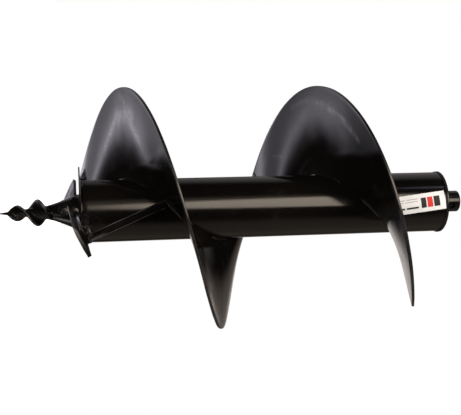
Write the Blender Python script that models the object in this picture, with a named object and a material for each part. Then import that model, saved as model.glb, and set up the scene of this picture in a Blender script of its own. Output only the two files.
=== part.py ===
"""Earth auger bit: a core tube with one right-handed screw flight, two bolted knives,
a pointed pilot screw and a hollow drive socket.

Units are metres and +Z is up. The origin is the centre of the drive socket's mouth, and
the bit hangs below it, so that the pilot's tip is OVERALL_LENGTH under the origin.
Angles about the Z axis are in degrees, counted from +X towards +Y.
"""
from math import cos, degrees, pi, radians, sin, tan

import bmesh
import bpy
from mathutils import Matrix, Vector

# Whole bit. A station is a height above the pilot's tip.
OVERALL_LENGTH = 0.7735
GAP = 0.0003

# Core tube and its two caps.
TUBE_RADIUS = 0.0508
TUBE_WALL = 0.004
TUBE_FOOT = 0.1322
TUBE_HEAD = 0.7352
BOTTOM_CAP_FOOT = 0.1283
BOTTOM_CAP_FLANGE = 0.0024
BOTTOM_CAP_TOP = 0.1382
TOP_CAP_THICKNESS = 0.0035
TOP_CAP_RADIUS = 0.0522
TOP_CAP_EDGE = 0.0008

# Drive socket: a thick tube through the top cap, with a cross hole for the drive pin.
SOCKET_RADIUS = 0.018
SOCKET_BORE_RADIUS = 0.010
SOCKET_LENGTH = 0.0825
SOCKET_BORE_DEPTH = 0.060
SOCKET_EDGE_RADIUS = 0.002
SOCKET_CHAMFER = 0.001
PIN_HOLE_RADIUS = 0.0062
PIN_HOLE_DEPTH = 0.0160
PIN_HOLE_ANGLE = 300.0

# Flight: a helicoid of FLIGHT_SWEEP degrees, pressed in sections of one turn.
FLIGHT_RADIUS = 0.200
FLIGHT_PITCH = 0.3217
FLIGHT_HEIGHT = 0.0044
FLIGHT_ROOT_RADIUS = TUBE_RADIUS + 0.0005
FLIGHT_START_ANGLE = 110.0
FLIGHT_START = 0.13175
FLIGHT_SWEEP = 577.7
SECTION_SWEEP = 360.0
SECTION_GAP_ANGLE = 0.3
FLIGHT_STEP_ANGLE = 4.0
FLIGHT_RADIAL_STEPS = 4

# Pilot screw: a twin-start screw on a tapering core, with a plain shank above it.
PILOT_SHOULDER = 0.0917
PILOT_SHANK_RADIUS = 0.011
PILOT_SHANK_TOP = 0.122
PILOT_HALF_TURN = 0.033
PILOT_CREST = 0.0583
PILOT_THREAD_HALF_WIDTH = 0.0088
PILOT_NECK = 0.0715
PILOT_NECK_RADIUS = 0.0105
PILOT_SPIKE_LENGTH = 0.011
PILOT_SPIKE_RADIUS = 0.0024
PILOT_POINT_RADIUS = 0.0009
PILOT_CREST_RADIUS = 0.0217
PILOT_CREST_SLOPE = 0.276
PILOT_THREAD_START = 0.0085
PILOT_THREAD_FADE_IN = 0.008
PILOT_THREAD_END = 0.0845
PILOT_THREAD_FADE_OUT = 0.012
PILOT_FLARE_POWER = 1.3

# Pilot socket: a conical hub under the bottom cap, with two cross bolts.
HUB_RADIUS = 0.026
HUB_CONE_TOP = 0.116
HUB_TOP = 0.1313
HUB_BOLT_ANGLE = 272.0
HUB_BOLTS = {
    "lower": {"station": 0.1035, "flat": 0.0172},
    "upper": {"station": 0.1195, "flat": 0.0225},
}
HUB_BOLT_END = -0.015
HUB_FLAT_HALF_WIDTH = 0.0078
SPANNER_ROOM = 0.0090
SPANNER_REACH = 0.060

# Knives: formed plates with three facets, bolted under flat seat bars.
KNIFE_THICKNESS = 0.0055
KNIFE_BEND = 4.0
KNIFE_TILT = 25.0
KNIFE_FLAT_HALF_WIDTH = 0.0125
KNIFE_FRONT_WIDTH = 0.0125
KNIFE_REAR_WIDTH = 0.0125
KNIFE_BEVEL = 0.008
KNIFE_INNER = 0.055
KNIFE_OUTER = 0.187
SEAT_THICKNESS = 0.0055
SEAT_HALF_WIDTH = 0.0125
SEAT_INNER = 0.018
SEAT_OUTER = 0.168
KNIFE_BOLT_REACHES = {"inner": 0.080, "outer": 0.150}
KNIFE_SIDES = {
    "flight_side": {"angle": 105.0, "station": 0.1088, "offset": -0.0088, "rise": 0.0},
    "braced_side": {"angle": 285.0, "station": 0.1162, "offset": -0.0006, "rise": 3.5},
}

# Toe plate between the start of the flight and the flight-side knife seat.
TOE_THICKNESS = 0.0026
TOE_INNER = 0.0516
TOE_OUTER = 0.192
TOE_FRONT = -0.010
TOE_REAR = 0.020

# Brace bar from the free knife seat to the root of the flight.
BRACE_WIDTH = 0.012
BRACE_THICKNESS = 0.008
BRACE_FOOT = {"radius": 0.1370, "angle": 288.8, "station": 0.1350}
BRACE_HEAD = {"radius": 0.0590, "angle": 261.9, "station": 0.2620}
BRACE_SPARE = 0.030

# Fasteners.
M10 = {"radius": 0.0050, "across_flats": 0.016, "nut": 0.007, "head_radius": 0.0098, "washer": 0.002}
M8 = {"radius": 0.0040, "across_flats": 0.013, "head": 0.0053}
HOLE_CLEARANCE = 0.0004
BOLT_OVERHANG = 0.0025
COUNTERSINK_LAND = 0.0006
BOLT_TIP_CHAMFER = 0.001

# Label on the tube.
LABEL_LENGTH = 0.100
LABEL_WIDTH = 0.031
LABEL_THICKNESS = 0.0003
LABEL_STATION = 0.6825
LABEL_ANGLE = 274.3
LABEL_SKEW = 6.8


# ---------------------------------------------------------------- helpers

def height(station):
    """Z of a station, which is counted upwards from the pilot's tip."""
    return station - OVERALL_LENGTH


def around(radius, angle, z):
    """Point at a radius and an angle in degrees about the auger's axis."""
    return Vector((radius * cos(radians(angle)), radius * sin(radians(angle)), z))


def clear_scene():
    for item in list(bpy.data.objects):
        bpy.data.objects.remove(item)


def make_material(name, colour, roughness, metallic):
    material = bpy.data.materials.new(name)
    material.use_nodes = True
    shader = material.node_tree.nodes["Principled BSDF"]
    shader.inputs["Base Color"].default_value = (*colour, 1.0)
    shader.inputs["Roughness"].default_value = roughness
    shader.inputs["Metallic"].default_value = metallic
    return material


def add_object(name, shape, material, place=None, sharp_angle=35.0):
    """Turn a bmesh into a named object that is shaded smooth except at its edges."""
    bmesh.ops.recalc_face_normals(shape, faces=shape.faces)
    mesh = bpy.data.meshes.new(name)
    shape.to_mesh(mesh)
    shape.free()
    mesh.shade_smooth()
    mesh.set_sharp_from_angle(angle=radians(sharp_angle))
    item = bpy.data.objects.new(name, mesh)
    bpy.context.collection.objects.link(item)
    if place is not None:
        item.matrix_world = place
    if material is not None:
        mesh.materials.append(material)
    return item


def loft(rings, closed_ends=True, closed_loop=False):
    """Skin a list of rings, each a list of the same number of points."""
    shape = bmesh.new()
    rows = [[shape.verts.new(point) for point in ring] for ring in rings]
    pairs = list(zip(rows, rows[1:]))
    if closed_loop:
        pairs.append((rows[-1], rows[0]))
    count = len(rows[0])
    for low, high in pairs:
        for index in range(count):
            after = (index + 1) % count
            shape.faces.new((low[index], low[after], high[after], high[index]))
    if closed_ends and not closed_loop:
        shape.faces.new(rows[0])
        shape.faces.new(rows[-1])
    return shape


def turn(profile, segments, hollow=False):
    """Revolve (radius, z) points about Z. A hollow profile is a closed loop."""
    rings = []
    for radius, z in profile:
        rings.append([around(radius, 360.0 * index / segments, z) for index in range(segments)])
    return loft(rings, closed_ends=not hollow, closed_loop=hollow)


def prism(outline, start, end):
    """Extrude a (y, z) outline along X from start to end."""
    return loft([[Vector((x, y, z)) for y, z in outline] for x in (start, end)])


def hexagon(across_flats, low, high):
    corner = across_flats / 2.0 / cos(pi / 6.0)
    return [[around(corner, 60.0 * index, z) for index in range(6)] for z in (low, high)]


def aim(origin, direction):
    """Placement whose local Z points along a direction."""
    turned = Vector((0.0, 0.0, 1.0)).rotation_difference(Vector(direction).normalized())
    return Matrix.Translation(origin) @ turned.to_matrix().to_4x4()


def add_cutter(name, shape, place=None):
    cutter = add_object(name, shape, None, place)
    cutter.hide_render = True
    cutter.display_type = "WIRE"
    return cutter


def cut(item, cutter):
    boolean = item.modifiers.new("cut_by_" + cutter.name, "BOOLEAN")
    boolean.operation = "DIFFERENCE"
    boolean.solver = "EXACT"
    boolean.object = cutter


# ---------------------------------------------------------------- materials

def make_materials():
    return {
        "paint": make_material("black_paint", (0.012, 0.011, 0.012), 0.28, 0.0),
        "knife": make_material("painted_knife_steel", (0.020, 0.019, 0.019), 0.34, 0.0),
        "forging": make_material("painted_forging", (0.016, 0.015, 0.015), 0.38, 0.0),
        "zinc": make_material("zinc_steel", (0.36, 0.36, 0.37), 0.38, 1.0),
        "label": make_material("label_film", (0.86, 0.86, 0.84), 0.35, 0.0),
    }


# ---------------------------------------------------------------- tube, caps and drive socket

def build_core_tube(paint):
    inner = TUBE_RADIUS - TUBE_WALL
    low, high = height(TUBE_FOOT), height(TUBE_HEAD)
    profile = [(TUBE_RADIUS, low), (TUBE_RADIUS, high), (inner, high), (inner, low)]
    add_object("core_tube", turn(profile, 72, hollow=True), paint)


def build_bottom_cap(paint):
    """Plug in the tube's end with a flange outside it and a recess for the top of the hub."""
    plug = TUBE_RADIUS - TUBE_WALL - GAP
    recess = HUB_RADIUS + GAP
    foot = height(BOTTOM_CAP_FOOT)
    shoulder = foot + BOTTOM_CAP_FLANGE
    profile = [(recess, height(HUB_TOP) + GAP), (recess, foot), (TUBE_RADIUS, foot), (TUBE_RADIUS, shoulder)]
    profile += [(plug, shoulder), (plug, height(BOTTOM_CAP_TOP))]
    add_object("bottom_cap", turn(profile, 72), paint)


def build_top_cap(paint):
    low = height(TUBE_HEAD) + GAP
    high = low + TOP_CAP_THICKNESS
    inner = SOCKET_RADIUS + GAP
    edge = TOP_CAP_EDGE
    profile = [
        (inner, low),
        (TOP_CAP_RADIUS - edge, low),
        (TOP_CAP_RADIUS, low + edge),
        (TOP_CAP_RADIUS, high - edge),
        (TOP_CAP_RADIUS - edge, high),
        (inner, high),
    ]
    add_object("top_cap", turn(profile, 72, hollow=True), paint)


def build_drive_socket(paint):
    """Blind bore from the mouth at Z = 0, with rounded outer and chamfered inner edges."""
    edge = SOCKET_EDGE_RADIUS
    rim = []
    for index in range(4):
        angle = radians(30.0 * index)
        rim.append((SOCKET_RADIUS - edge + edge * cos(angle), -edge + edge * sin(angle)))
    profile = [(SOCKET_RADIUS, -SOCKET_LENGTH), *rim]
    profile += [(SOCKET_BORE_RADIUS + SOCKET_CHAMFER, 0.0), (SOCKET_BORE_RADIUS, -SOCKET_CHAMFER)]
    profile += [(SOCKET_BORE_RADIUS, -SOCKET_BORE_DEPTH)]
    socket = add_object("drive_socket", turn(profile, 48), paint)
    hole = turn([(PIN_HOLE_RADIUS, -2.0 * SOCKET_RADIUS), (PIN_HOLE_RADIUS, 2.0 * SOCKET_RADIUS)], 24)
    place = aim((0.0, 0.0, -PIN_HOLE_DEPTH), around(1.0, PIN_HOLE_ANGLE, 0.0))
    cut(socket, add_cutter("pin_hole_cutter", hole, place))


# ---------------------------------------------------------------- flight

def flight_height(angle):
    """Z of the flight's mid-surface. Its radial lines are level."""
    return height(FLIGHT_START) + FLIGHT_PITCH * (angle - FLIGHT_START_ANGLE) / 360.0


def flight_section_loop(angle):
    """Closed radial cross-section of the flight at one angle."""
    z = flight_height(angle)
    span = FLIGHT_RADIUS - FLIGHT_ROOT_RADIUS
    radii = [FLIGHT_ROOT_RADIUS + span * step / FLIGHT_RADIAL_STEPS for step in range(FLIGHT_RADIAL_STEPS + 1)]
    lower = [around(radius, angle, z - FLIGHT_HEIGHT / 2.0) for radius in radii]
    upper = [around(radius, angle, z + FLIGHT_HEIGHT / 2.0) for radius in reversed(radii)]
    return lower + upper


def build_flight_section(name, start, end, paint):
    steps = round((end - start) / FLIGHT_STEP_ANGLE)
    angles = [start + (end - start) * step / steps for step in range(steps + 1)]
    add_object(name, loft([flight_section_loop(angle) for angle in angles]), paint)


def build_flight(paint):
    seam = FLIGHT_START_ANGLE + SECTION_SWEEP
    end = FLIGHT_START_ANGLE + FLIGHT_SWEEP
    build_flight_section("flight_lower_section", FLIGHT_START_ANGLE, seam - SECTION_GAP_ANGLE / 2.0, paint)
    build_flight_section("flight_upper_section", seam + SECTION_GAP_ANGLE / 2.0, end, paint)


# ---------------------------------------------------------------- pilot screw and its socket

def taper_radius(station):
    """Outline shared by the pilot's root and the hub's cone, which widens upwards."""
    rise = max(0.0, (station - PILOT_NECK) / (HUB_CONE_TOP - PILOT_NECK))
    return PILOT_NECK_RADIUS + (HUB_RADIUS - PILOT_NECK_RADIUS) * min(1.0, rise) ** PILOT_FLARE_POWER


def pilot_core_radius(station):
    """Spike at the tip, then an even taper up to the neck and the widening root."""
    spike = PILOT_SPIKE_RADIUS
    if station < PILOT_SPIKE_LENGTH:
        return PILOT_POINT_RADIUS + (spike - PILOT_POINT_RADIUS) * station / PILOT_SPIKE_LENGTH
    if station < PILOT_NECK:
        share = (station - PILOT_SPIKE_LENGTH) / (PILOT_NECK - PILOT_SPIKE_LENGTH)
        return spike + (PILOT_NECK_RADIUS - spike) * share
    return taper_radius(station)


def pilot_crest_radius(station):
    return PILOT_CREST_RADIUS + PILOT_CREST_SLOPE * (station - PILOT_CREST)


def pilot_thread_share(station):
    """Fades the thread in above the spike and out again at the root."""
    fade_in = min(1.0, max(0.0, (station - PILOT_THREAD_START) / PILOT_THREAD_FADE_IN))
    fade_out = min(1.0, max(0.0, (PILOT_THREAD_END - station) / PILOT_THREAD_FADE_OUT))
    return fade_in * fade_out


def pilot_radius(station, angle):
    """Distance from the axis to the pilot's surface. The thread has two starts."""
    core = pilot_core_radius(station)
    offset = (station - PILOT_CREST) - PILOT_HALF_TURN * angle / 180.0
    offset -= PILOT_HALF_TURN * round(offset / PILOT_HALF_TURN)
    share = max(0.0, 1.0 - abs(offset) / PILOT_THREAD_HALF_WIDTH)
    bump = share * share * (3.0 - 2.0 * share)
    depth = max(0.0, pilot_crest_radius(station) - core)
    return core + depth * bump * pilot_thread_share(station)


def build_pilot_screw(forging):
    segments, steps = 28, 52
    rings = []
    for step in range(steps + 1):
        station = PILOT_SHOULDER * step / steps
        ring = []
        for index in range(segments):
            angle = 360.0 * index / segments
            ring.append(around(pilot_radius(station, angle), angle, height(station)))
        rings.append(ring)
    for station in (PILOT_SHOULDER, PILOT_SHANK_TOP):
        rings.append([around(PILOT_SHANK_RADIUS, 360.0 * index / segments, height(station))
                      for index in range(segments)])
    screw = add_object("pilot_screw", loft(rings), forging)
    for name in HUB_BOLTS:
        cut(screw, hub_bolt_cutter("pilot_hole_cutter_" + name, HUB_BOLTS[name]))


def hub_bolt_place(bolt):
    """Placement whose Z axis runs out along one of the hub's bolts."""
    return aim((0.0, 0.0, height(bolt["station"])), around(1.0, HUB_BOLT_ANGLE, 0.0))


def hub_bolt_cutter(name, bolt):
    radius = M8["radius"] + HOLE_CLEARANCE
    shape = turn([(radius, HUB_BOLT_END - GAP), (radius, 2.0 * HUB_RADIUS)], 20)
    return add_cutter(name, shape, hub_bolt_place(bolt))


def build_pilot_socket(paint):
    """Conical hub with a blind bore for the pilot's shank and a flat for each bolt's head."""
    foot = PILOT_SHOULDER + GAP
    bore = PILOT_SHANK_RADIUS + GAP
    cone = []
    for step in range(7):
        station = foot + (HUB_CONE_TOP - foot) * step / 6.0
        cone.append((taper_radius(station), height(station)))
    bore_top = height(PILOT_SHANK_TOP) + GAP
    profile = [(bore, bore_top), (bore, height(foot)), *cone, (HUB_RADIUS, height(HUB_TOP))]
    hub = add_object("pilot_socket", turn(profile, 48), paint)
    half = HUB_FLAT_HALF_WIDTH
    outline = [(-half, -half), (half, -half), (half, half), (-half, half)]
    for name, bolt in HUB_BOLTS.items():
        cut(hub, hub_bolt_cutter("hub_hole_cutter_" + name, bolt))
        shape = prism(outline, bolt["flat"], 2.0 * HUB_RADIUS)
        turned = Matrix.Rotation(radians(HUB_BOLT_ANGLE), 4, "Z")
        place = Matrix.Translation((0.0, 0.0, height(bolt["station"]))) @ turned
        cut(hub, add_cutter("hub_flat_cutter_" + name, shape, place))


def build_pilot_bolts(zinc):
    """Hex bolts across the hub and the pilot's shank, threaded into the hub's far wall."""
    for name, bolt in HUB_BOLTS.items():
        place = hub_bolt_place(bolt)
        seat = bolt["flat"] + GAP
        head = loft(hexagon(M8["across_flats"], seat, seat + M8["head"]))
        item = add_object("pilot_bolt_" + name, head, zinc, place)
        join(item, turn([(M8["radius"], HUB_BOLT_END), (M8["radius"], seat + M8["head"] / 2.0)], 20), place)


def join(item, shape, place):
    """Boolean union of a second closed shape into an object."""
    tool = add_cutter(item.name + "_shank_guide", shape, place)
    boolean = item.modifiers.new("joined_to_" + tool.name, "BOOLEAN")
    boolean.operation = "UNION"
    boolean.solver = "EXACT"
    boolean.object = tool


def nut_shape(size, low, high):
    """Hex ring: six corners outside, a round hole of the same number of steps inside."""
    segments = 24
    hole = size["radius"] + GAP
    half = size["across_flats"] / 2.0
    outer = []
    for index in range(segments):
        angle = 360.0 * index / segments
        off_flat = (angle + 30.0) % 60.0 - 30.0
        outer.append((half / cos(radians(off_flat)), angle))
    low_outer = [around(radius, angle, low) for radius, angle in outer]
    high_outer = [around(radius, angle, high) for radius, angle in outer]
    high_inner = [around(hole, angle, high) for _, angle in outer]
    low_inner = [around(hole, angle, low) for _, angle in outer]
    return loft([low_outer, high_outer, high_inner, low_inner], closed_loop=True)


# ---------------------------------------------------------------- knives, seats and their bolts

def knife_place(side, tilt=KNIFE_TILT):
    """Placement of a knife: X outwards, Y backwards along the middle facet, Z off its upper face."""
    station, angle = side["station"], side["angle"]
    level = Matrix.Translation((0.0, 0.0, height(station))) @ Matrix.Rotation(radians(angle), 4, "Z")
    line = Matrix.Translation((0.0, side["offset"], 0.0)) @ Matrix.Rotation(radians(-side["rise"]), 4, "Y")
    return level @ line @ Matrix.Rotation(radians(tilt), 4, "X")


def knife_outline():
    """Cross-section of a knife: three facets of even thickness and a bevelled cutting edge."""
    half = KNIFE_THICKNESS / 2.0
    bend = radians(KNIFE_BEND)
    flat = KNIFE_FLAT_HALF_WIDTH
    shift = half * tan(bend / 2.0)
    along = Vector((cos(bend), sin(bend)))
    front_fold = Vector((-flat, 0.0))
    rear_fold = Vector((flat, 0.0))
    front = front_fold + KNIFE_FRONT_WIDTH * Vector((-along.x, along.y))
    rear = rear_fold + KNIFE_REAR_WIDTH * along
    front_normal = Vector((along.y, along.x))
    rear_normal = Vector((-along.y, along.x))
    bevel = KNIFE_BEVEL * Vector((along.x, -along.y))
    return [
        tuple(front - half * front_normal),
        (-flat - shift, -half),
        (flat + shift, -half),
        tuple(rear - half * rear_normal),
        tuple(rear + half * rear_normal),
        (flat - shift, half),
        (-flat + shift, half),
        tuple(front + half * front_normal + bevel),
        tuple(front - 0.6 * half * front_normal),
    ]


def build_knife(name, side, steel):
    place = knife_place(side)
    knife = add_object("knife_" + name, prism(knife_outline(), KNIFE_INNER, KNIFE_OUTER), steel, place, 5.0)
    half = KNIFE_THICKNESS / 2.0
    hole = M10["radius"] + HOLE_CLEARANCE
    sink = M10["head_radius"] + HOLE_CLEARANCE
    for reach_name, reach in KNIFE_BOLT_REACHES.items():
        land = -half + COUNTERSINK_LAND
        profile = [(sink, -2.0 * half), (sink, land), (hole, land + sink - hole), (hole, 2.0 * half)]
        spot = place @ Matrix.Translation((reach, 0.0, 0.0))
        cut(knife, add_cutter(f"knife_{name}_{reach_name}_hole_cutter", turn(profile, 24), spot))


def build_knife_seat(name, side, paint):
    """Flat bar above the knife, clear of the hub and of the tube's end."""
    place = knife_place(side)
    low = KNIFE_THICKNESS / 2.0 + GAP
    high = low + SEAT_THICKNESS
    width = SEAT_HALF_WIDTH
    outline = [(-width, low), (width, low), (width, high), (-width, high)]
    seat = add_object("knife_seat_" + name, prism(outline, SEAT_INNER, SEAT_OUTER), paint, place)
    for reach_name, reach in KNIFE_BOLT_REACHES.items():
        hole = M10["radius"] + HOLE_CLEARANCE
        spot = place @ Matrix.Translation((reach, 0.0, 0.0))
        shape = turn([(hole, 0.0), (hole, 2.0 * high)], 24)
        cut(seat, add_cutter(f"knife_seat_{name}_{reach_name}_hole_cutter", shape, spot))
    hub = HUB_RADIUS + GAP
    shape = turn([(hub, height(0.0)), (hub, height(TUBE_HEAD))], 48)
    cut(seat, add_cutter("hub_clearance_cutter_" + name, shape))
    tube = TUBE_RADIUS + GAP
    shape = turn([(tube, height(BOTTOM_CAP_FOOT) - GAP), (tube, height(TUBE_HEAD))], 72)
    cut(seat, add_cutter("tube_clearance_cutter_" + name, shape))
    room = SPANNER_ROOM
    outline = [(-4.0 * room, -4.0 * room), (room, -4.0 * room), (room, room), (-4.0 * room, room)]
    bolt = HUB_BOLTS["upper"]
    spot = Matrix.Translation((0.0, 0.0, height(bolt["station"]))) @ Matrix.Rotation(radians(HUB_BOLT_ANGLE), 4, "Z")
    shape = prism(outline, bolt["flat"], SPANNER_REACH)
    cut(seat, add_cutter("spanner_clearance_cutter_" + name, shape, spot))


def build_knife_fasteners(name, side, zinc):
    """Countersunk plough bolts from below, with a washer and a nut on the seat."""
    half = KNIFE_THICKNESS / 2.0
    head, shank = M10["head_radius"], M10["radius"]
    washer_low = half + GAP + SEAT_THICKNESS + GAP
    nut_low = washer_low + M10["washer"] + GAP
    nut_high = nut_low + M10["nut"]
    for reach_name, reach in KNIFE_BOLT_REACHES.items():
        place = knife_place(side) @ Matrix.Translation((reach, 0.0, 0.0))
        suffix = f"{name}_{reach_name}"
        land = -half + COUNTERSINK_LAND
        tip = nut_high + BOLT_OVERHANG
        profile = [(head, -half), (head, land), (shank, land + head - shank)]
        profile += [(shank, tip - BOLT_TIP_CHAMFER), (shank - BOLT_TIP_CHAMFER, tip)]
        add_object("knife_bolt_" + suffix, turn(profile, 24), zinc, place)
        inner, outer = shank + GAP, 2.0 * shank
        ring = [(outer, washer_low), (outer, washer_low + M10["washer"])]
        ring += [(inner, washer_low + M10["washer"]), (inner, washer_low)]
        add_object("knife_washer_" + suffix, turn(ring, 32, hollow=True), zinc, place)
        add_object("knife_nut_" + suffix, nut_shape(M10, nut_low, nut_high), zinc, place)


def build_toe_plate(paint):
    """Level plate under the flight's leading edge, running along it."""
    low = FLIGHT_START - FLIGHT_HEIGHT / 2.0 - GAP - TOE_THICKNESS
    shape = prism(
        [(TOE_FRONT, low), (TOE_REAR, low), (TOE_REAR, low + TOE_THICKNESS), (TOE_FRONT, low + TOE_THICKNESS)],
        TOE_INNER,
        TOE_OUTER,
    )
    place = Matrix.Translation((0.0, 0.0, height(0.0))) @ Matrix.Rotation(radians(FLIGHT_START_ANGLE), 4, "Z")
    add_object("flight_toe_plate", shape, paint, place)


# ---------------------------------------------------------------- brace bar

def build_brace_bar(paint):
    """Flat bar trimmed parallel to the seat at its foot and to the flight at its head."""
    foot = around(BRACE_FOOT["radius"], BRACE_FOOT["angle"], height(BRACE_FOOT["station"]))
    head = around(BRACE_HEAD["radius"], BRACE_HEAD["angle"], height(BRACE_HEAD["station"]))
    along = (head - foot).normalized()
    outward = around(1.0, (BRACE_FOOT["angle"] + BRACE_HEAD["angle"]) / 2.0, 0.0)
    across = along.cross(outward).normalized()
    up = across.cross(along)
    corners = [(-1.0, -1.0), (1.0, -1.0), (1.0, 1.0), (-1.0, 1.0)]
    rings = []
    for end in (foot - BRACE_SPARE * along, head + BRACE_SPARE * along):
        rings.append([end + 0.5 * (BRACE_WIDTH * a * across + BRACE_THICKNESS * b * up) for a, b in corners])
    shape = loft(rings)
    seat = knife_place(KNIFE_SIDES["braced_side"])
    seat_top = KNIFE_THICKNESS / 2.0 + SEAT_THICKNESS + 2.0 * GAP
    trim(shape, seat @ Vector((0.0, 0.0, seat_top)), -(seat.to_3x3() @ Vector((0.0, 0.0, 1.0))))
    slope = FLIGHT_PITCH / (2.0 * pi * BRACE_HEAD["radius"])
    tangent = around(1.0, BRACE_HEAD["angle"] + 90.0, slope)
    normal = around(1.0, BRACE_HEAD["angle"], 0.0).cross(tangent).normalized()
    turn_angle = 360.0 * (BRACE_HEAD["angle"] < FLIGHT_START_ANGLE)
    under = flight_height(BRACE_HEAD["angle"] + turn_angle) - FLIGHT_HEIGHT / 2.0
    point = around(BRACE_HEAD["radius"], BRACE_HEAD["angle"], under - 4.0 * GAP)
    trim(shape, point, normal)
    add_object("brace_bar", shape, paint, None, 20.0)


def trim(shape, point, outward):
    """Cut a shape by a plane, drop what is outside and close the cut."""
    geometry = shape.verts[:] + shape.edges[:] + shape.faces[:]
    result = bmesh.ops.bisect_plane(shape, geom=geometry, plane_co=point, plane_no=outward, clear_outer=True)
    rim = [item for item in result["geom_cut"] if isinstance(item, bmesh.types.BMEdge)]
    bmesh.ops.edgeloop_fill(shape, edges=rim)


# ---------------------------------------------------------------- label

def build_label(film):
    """Thin film bent round the tube, a little out of square with it."""
    columns, rows = 4, 12
    inner = TUBE_RADIUS + GAP
    outer = inner + LABEL_THICKNESS
    skew = radians(LABEL_SKEW)
    rings = []
    for column in range(columns + 1):
        along = LABEL_LENGTH * (column / columns - 0.5)
        ring = []
        for radius, order in ((inner, range(rows + 1)), (outer, range(rows, -1, -1))):
            for row in order:
                across = LABEL_WIDTH * (row / rows - 0.5)
                z = along * cos(skew) + across * sin(skew)
                arc = across * cos(skew) - along * sin(skew)
                ring.append(around(radius, LABEL_ANGLE + degrees(arc / outer), height(LABEL_STATION) + z))
        rings.append(ring)
    add_object("label", loft(rings), film)


# ---------------------------------------------------------------- the whole bit

def build_auger():
    clear_scene()
    materials = make_materials()
    paint, zinc = materials["paint"], materials["zinc"]
    build_core_tube(paint)
    build_bottom_cap(paint)
    build_top_cap(paint)
    build_drive_socket(paint)
    build_flight(paint)
    build_pilot_screw(materials["forging"])
    build_pilot_socket(paint)
    build_pilot_bolts(zinc)
    for name, side in KNIFE_SIDES.items():
        build_knife(name, side, materials["knife"])
        build_knife_seat(name, side, paint)
        build_knife_fasteners(name, side, zinc)
    build_toe_plate(paint)
    build_brace_bar(paint)
    build_label(materials["label"])


build_auger()
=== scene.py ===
"""Looks of the earth auger bit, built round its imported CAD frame. Metres, +Z up the auger's axis."""

from math import cos, degrees, pi, radians, sin, tan
from random import Random

import bmesh
import bpy
from mathutils import Matrix, Vector, noise


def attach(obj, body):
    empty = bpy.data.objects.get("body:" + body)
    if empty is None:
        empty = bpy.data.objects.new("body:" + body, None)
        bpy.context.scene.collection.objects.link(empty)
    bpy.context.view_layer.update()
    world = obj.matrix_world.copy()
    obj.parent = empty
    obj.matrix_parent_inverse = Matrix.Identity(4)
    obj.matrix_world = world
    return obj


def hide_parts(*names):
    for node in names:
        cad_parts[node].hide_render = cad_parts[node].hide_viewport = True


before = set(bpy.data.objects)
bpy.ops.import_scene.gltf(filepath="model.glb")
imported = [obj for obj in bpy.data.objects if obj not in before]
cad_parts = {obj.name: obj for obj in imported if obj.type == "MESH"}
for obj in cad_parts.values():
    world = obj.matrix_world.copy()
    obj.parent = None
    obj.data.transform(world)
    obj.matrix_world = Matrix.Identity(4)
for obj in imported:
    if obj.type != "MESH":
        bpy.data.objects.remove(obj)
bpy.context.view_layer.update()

# Whole bit. A station is a height above the pilot's tip, and the origin is at the socket's mouth.
LENGTH = 0.7735
GAP = 0.0003

TUBE_RADIUS = 0.0508
TUBE_WALL = 0.004
TUBE_FOOT = 0.1322
TUBE_HEAD = 0.7352
BOTTOM_CAP_FOOT = 0.1283
BOTTOM_CAP_FLANGE = 0.0024
BOTTOM_CAP_TOP = 0.1382
TOP_CAP_THICKNESS = 0.0035
TOP_CAP_RADIUS = 0.0522

SOCKET_RADIUS = 0.018
SOCKET_BORE_RADIUS = 0.010
SOCKET_LENGTH = 0.0825
SOCKET_BORE_DEPTH = 0.060
SOCKET_EDGE = 0.0022
PIN_HOLE_RADIUS = 0.0062
PIN_HOLE_DEPTH = 0.0160
PIN_HOLE_ANGLE = 300.0

FLIGHT_RADIUS = 0.200
FLIGHT_PITCH = 0.3217
FLIGHT_HEIGHT = 0.0044
FLIGHT_ROOT_RADIUS = TUBE_RADIUS + 0.0002
FLIGHT_START_ANGLE = 110.0
FLIGHT_START = 0.13175
FLIGHT_SWEEP = 577.7
SECTION_SWEEP = 360.0

PILOT_SHOULDER = 0.0917
PILOT_SHANK_RADIUS = 0.011
PILOT_HALF_TURN = 0.033
PILOT_CREST = 0.0583
PILOT_THREAD_HALF_WIDTH = 0.0088
PILOT_NECK = 0.0715
PILOT_NECK_RADIUS = 0.0105
PILOT_SPIKE_LENGTH = 0.011
PILOT_SPIKE_RADIUS = 0.0024
PILOT_POINT_RADIUS = 0.0009

HUB_RADIUS = 0.026
HUB_CONE_TOP = 0.116
HUB_TOP = 0.1313
HUB_BOLT_ANGLE = 272.0
HUB_BOLTS = {"lower": (0.1035, 0.0172), "upper": (0.1195, 0.0225)}
HUB_FLAT_HALF_WIDTH = 0.0078

KNIFE_THICKNESS = 0.0055
KNIFE_BEND = 4.0
KNIFE_TILT = 25.0
KNIFE_HALF_FLAT = 0.0125
KNIFE_WING = 0.0125
KNIFE_BEVEL = 0.008
KNIFE_INNER = 0.055
KNIFE_OUTER = 0.187
SEAT_THICKNESS = 0.0055
SEAT_HALF_WIDTH = 0.0125
SEAT_INNER = 0.018
SEAT_OUTER = 0.168
SPANNER_ROOM = 0.0090
SPANNER_REACH = 0.060
KNIFE_BOLT_REACHES = {"inner": 0.080, "outer": 0.150}
KNIFE_SIDES = {
    "flight_side": {"angle": 105.0, "station": 0.1088, "offset": -0.0088, "rise": 0.0},
    "braced_side": {"angle": 285.0, "station": 0.1162, "offset": -0.0006, "rise": 3.5},
}

TOE_THICKNESS = 0.0026
TOE_INNER = 0.0516
TOE_OUTER = 0.192
TOE_FRONT = -0.010
TOE_REAR = 0.020

BRACE_WIDTH = 0.012
BRACE_THICKNESS = 0.008
BRACE_FOOT = {"radius": 0.1370, "angle": 288.8, "station": 0.1350}
BRACE_HEAD = {"radius": 0.0590, "angle": 261.9, "station": 0.2620}

LABEL_LENGTH = 0.100
LABEL_WIDTH = 0.031
LABEL_STATION = 0.6825
LABEL_ANGLE = 274.3
LABEL_SKEW = 6.8

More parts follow.
